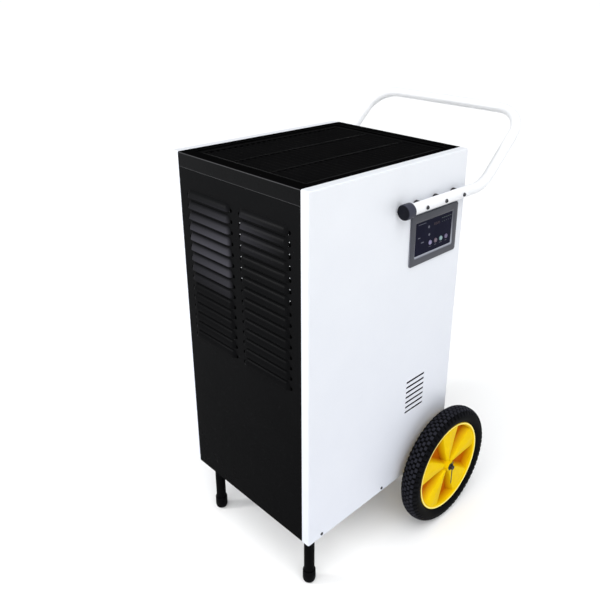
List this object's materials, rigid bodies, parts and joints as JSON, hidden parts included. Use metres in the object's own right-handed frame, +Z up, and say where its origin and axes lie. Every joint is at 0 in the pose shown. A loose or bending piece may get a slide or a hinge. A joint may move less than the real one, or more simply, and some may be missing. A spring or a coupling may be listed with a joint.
{
  "type": "commercial dehumidifier",
  "caption": "Tall portable commercial dehumidifier with a louvred intake, a top outlet grille, a side control panel, large wheels, front legs and a U-shaped push handle.",
  "frame": {"origin": "on the floor, under the middle of the whole object's bounding box", "axes": "+Z up; -Y towards the louvred front; +X towards the side with the control panel; the push handle is at +Y"},
  "size_m": [0.579, 0.7275, 1.0586],
  "materials": {
    "white_paint": "smooth powder coat",
    "black_paint": "glossy powder coat",
    "zinc_steel": "zinc plated",
    "dark_steel": "black oxide",
    "yellow_plastic": "moulded, satin",
    "tyre_rubber": "matt, with a fine tread",
    "black_rubber": "matt",
    "black_plastic": "moulded",
    "grey_plastic": "fine grain",
    "dark_window": "polished",
    "button_plastic": "polished",
    "circuit_board": "solder mask",
    "aluminium": "mill finish",
    "copper": "drawn copper",
    "filter_mesh": "woven mesh",
    "clear_hose": "translucent"
  },
  "bodies": {
    "cabinet": {"side_panel_left": "white_paint", "side_panel_right": "white_paint", "handle_tube": "white_paint", "front_panel": "black_paint", "back_panel": "black_paint", "top_cover": "black_paint", "outlet_grille": "black_paint", "front_leg_left": "black_paint", "front_leg_right": "black_paint", "axle_bracket_left": "black_paint", "axle_bracket_right": "black_paint", "compressor": "black_paint", "base_tray": "zinc_steel", "fan_deck": "zinc_steel", "fan_motor": "zinc_steel", "axle": "dark_steel", "wheel_washer_left": "dark_steel", "wheel_washer_right": "dark_steel", "split_pin_left": "dark_steel", "split_pin_right": "dark_steel", "handle_bolt_left_1": "dark_steel", "handle_bolt_left_2": "dark_steel", "handle_bolt_left_3": "dark_steel", "handle_bolt_right_1": "dark_steel", "handle_bolt_right_2": "dark_steel", "handle_bolt_right_3": "dark_steel", "foot_cap_left": "black_rubber", "foot_cap_right": "black_rubber", "cable_gland": "black_rubber", "handle_spacer_left_1": "black_rubber", "handle_spacer_left_2": "black_rubber", "handle_spacer_left_3": "black_rubber", "handle_spacer_right_1": "black_rubber", "handle_spacer_right_2": "black_rubber", "handle_spacer_right_3": "black_rubber", "handle_cap_left": "grey_plastic", "handle_cap_right": "grey_plastic", "control_bezel": "grey_plastic", "electrical_box": "grey_plastic", "drain_spout": "grey_plastic", "display_window": "dark_window", "control_board": "circuit_board", "evaporator_coil": "aluminium", "condenser_coil": "aluminium", "drip_tray": "aluminium", "suction_pipe": "copper", "discharge_pipe": "copper", "capillary_pipe": "copper", "air_filter": "filter_mesh", "drain_hose": "clear_hose"},
    "wheel_left": {"wheel_rim_left": "yellow_plastic", "tyre_left": "tyre_rubber"},
    "wheel_right": {"wheel_rim_right": "yellow_plastic", "tyre_right": "tyre_rubber"},
    "fan": {"fan_wheel": "black_plastic", "fan_shaft": "zinc_steel"},
    "button_power_key": {"button_power": "button_plastic"},
    "button_mode_key": {"button_mode": "button_plastic"},
    "button_down_key": {"button_down": "button_plastic"},
    "button_up_key": {"button_up": "button_plastic"}
  },
  "joints": [
    {"name": "wheel_left_spin", "type": "hinge", "parent": "cabinet", "child": "wheel_left", "pos_m": [-0.258, 0.09308, 0.1585], "axis": [1, 0, 0], "continuous": true},
    {"name": "wheel_right_spin", "type": "hinge", "parent": "cabinet", "child": "wheel_right", "pos_m": [0.258, 0.09308, 0.1585], "axis": [1, 0, 0], "continuous": true},
    {"name": "fan_spin", "type": "hinge", "parent": "cabinet", "child": "fan", "pos_m": [0, -0.04692, 0.948], "axis": [0, 0, 1], "continuous": true},
    {"name": "button_power_press", "type": "slide", "parent": "cabinet", "child": "button_power_key", "axis": [-1, 0, 0], "range_m": [0, 0.001], "stiffness_N_per_m": 500, "springref_m": -0.001},
    {"name": "button_mode_press", "type": "slide", "parent": "cabinet", "child": "button_mode_key", "axis": [-1, 0, 0], "range_m": [0, 0.001], "stiffness_N_per_m": 500, "springref_m": -0.001},
    {"name": "button_down_press", "type": "slide", "parent": "cabinet", "child": "button_down_key", "axis": [-1, 0, 0], "range_m": [0, 0.001], "stiffness_N_per_m": 500, "springref_m": -0.001},
    {"name": "button_up_press", "type": "slide", "parent": "cabinet", "child": "button_up_key", "axis": [-1, 0, 0], "range_m": [0, 0.001], "stiffness_N_per_m": 500, "springref_m": -0.001}
  ]
}
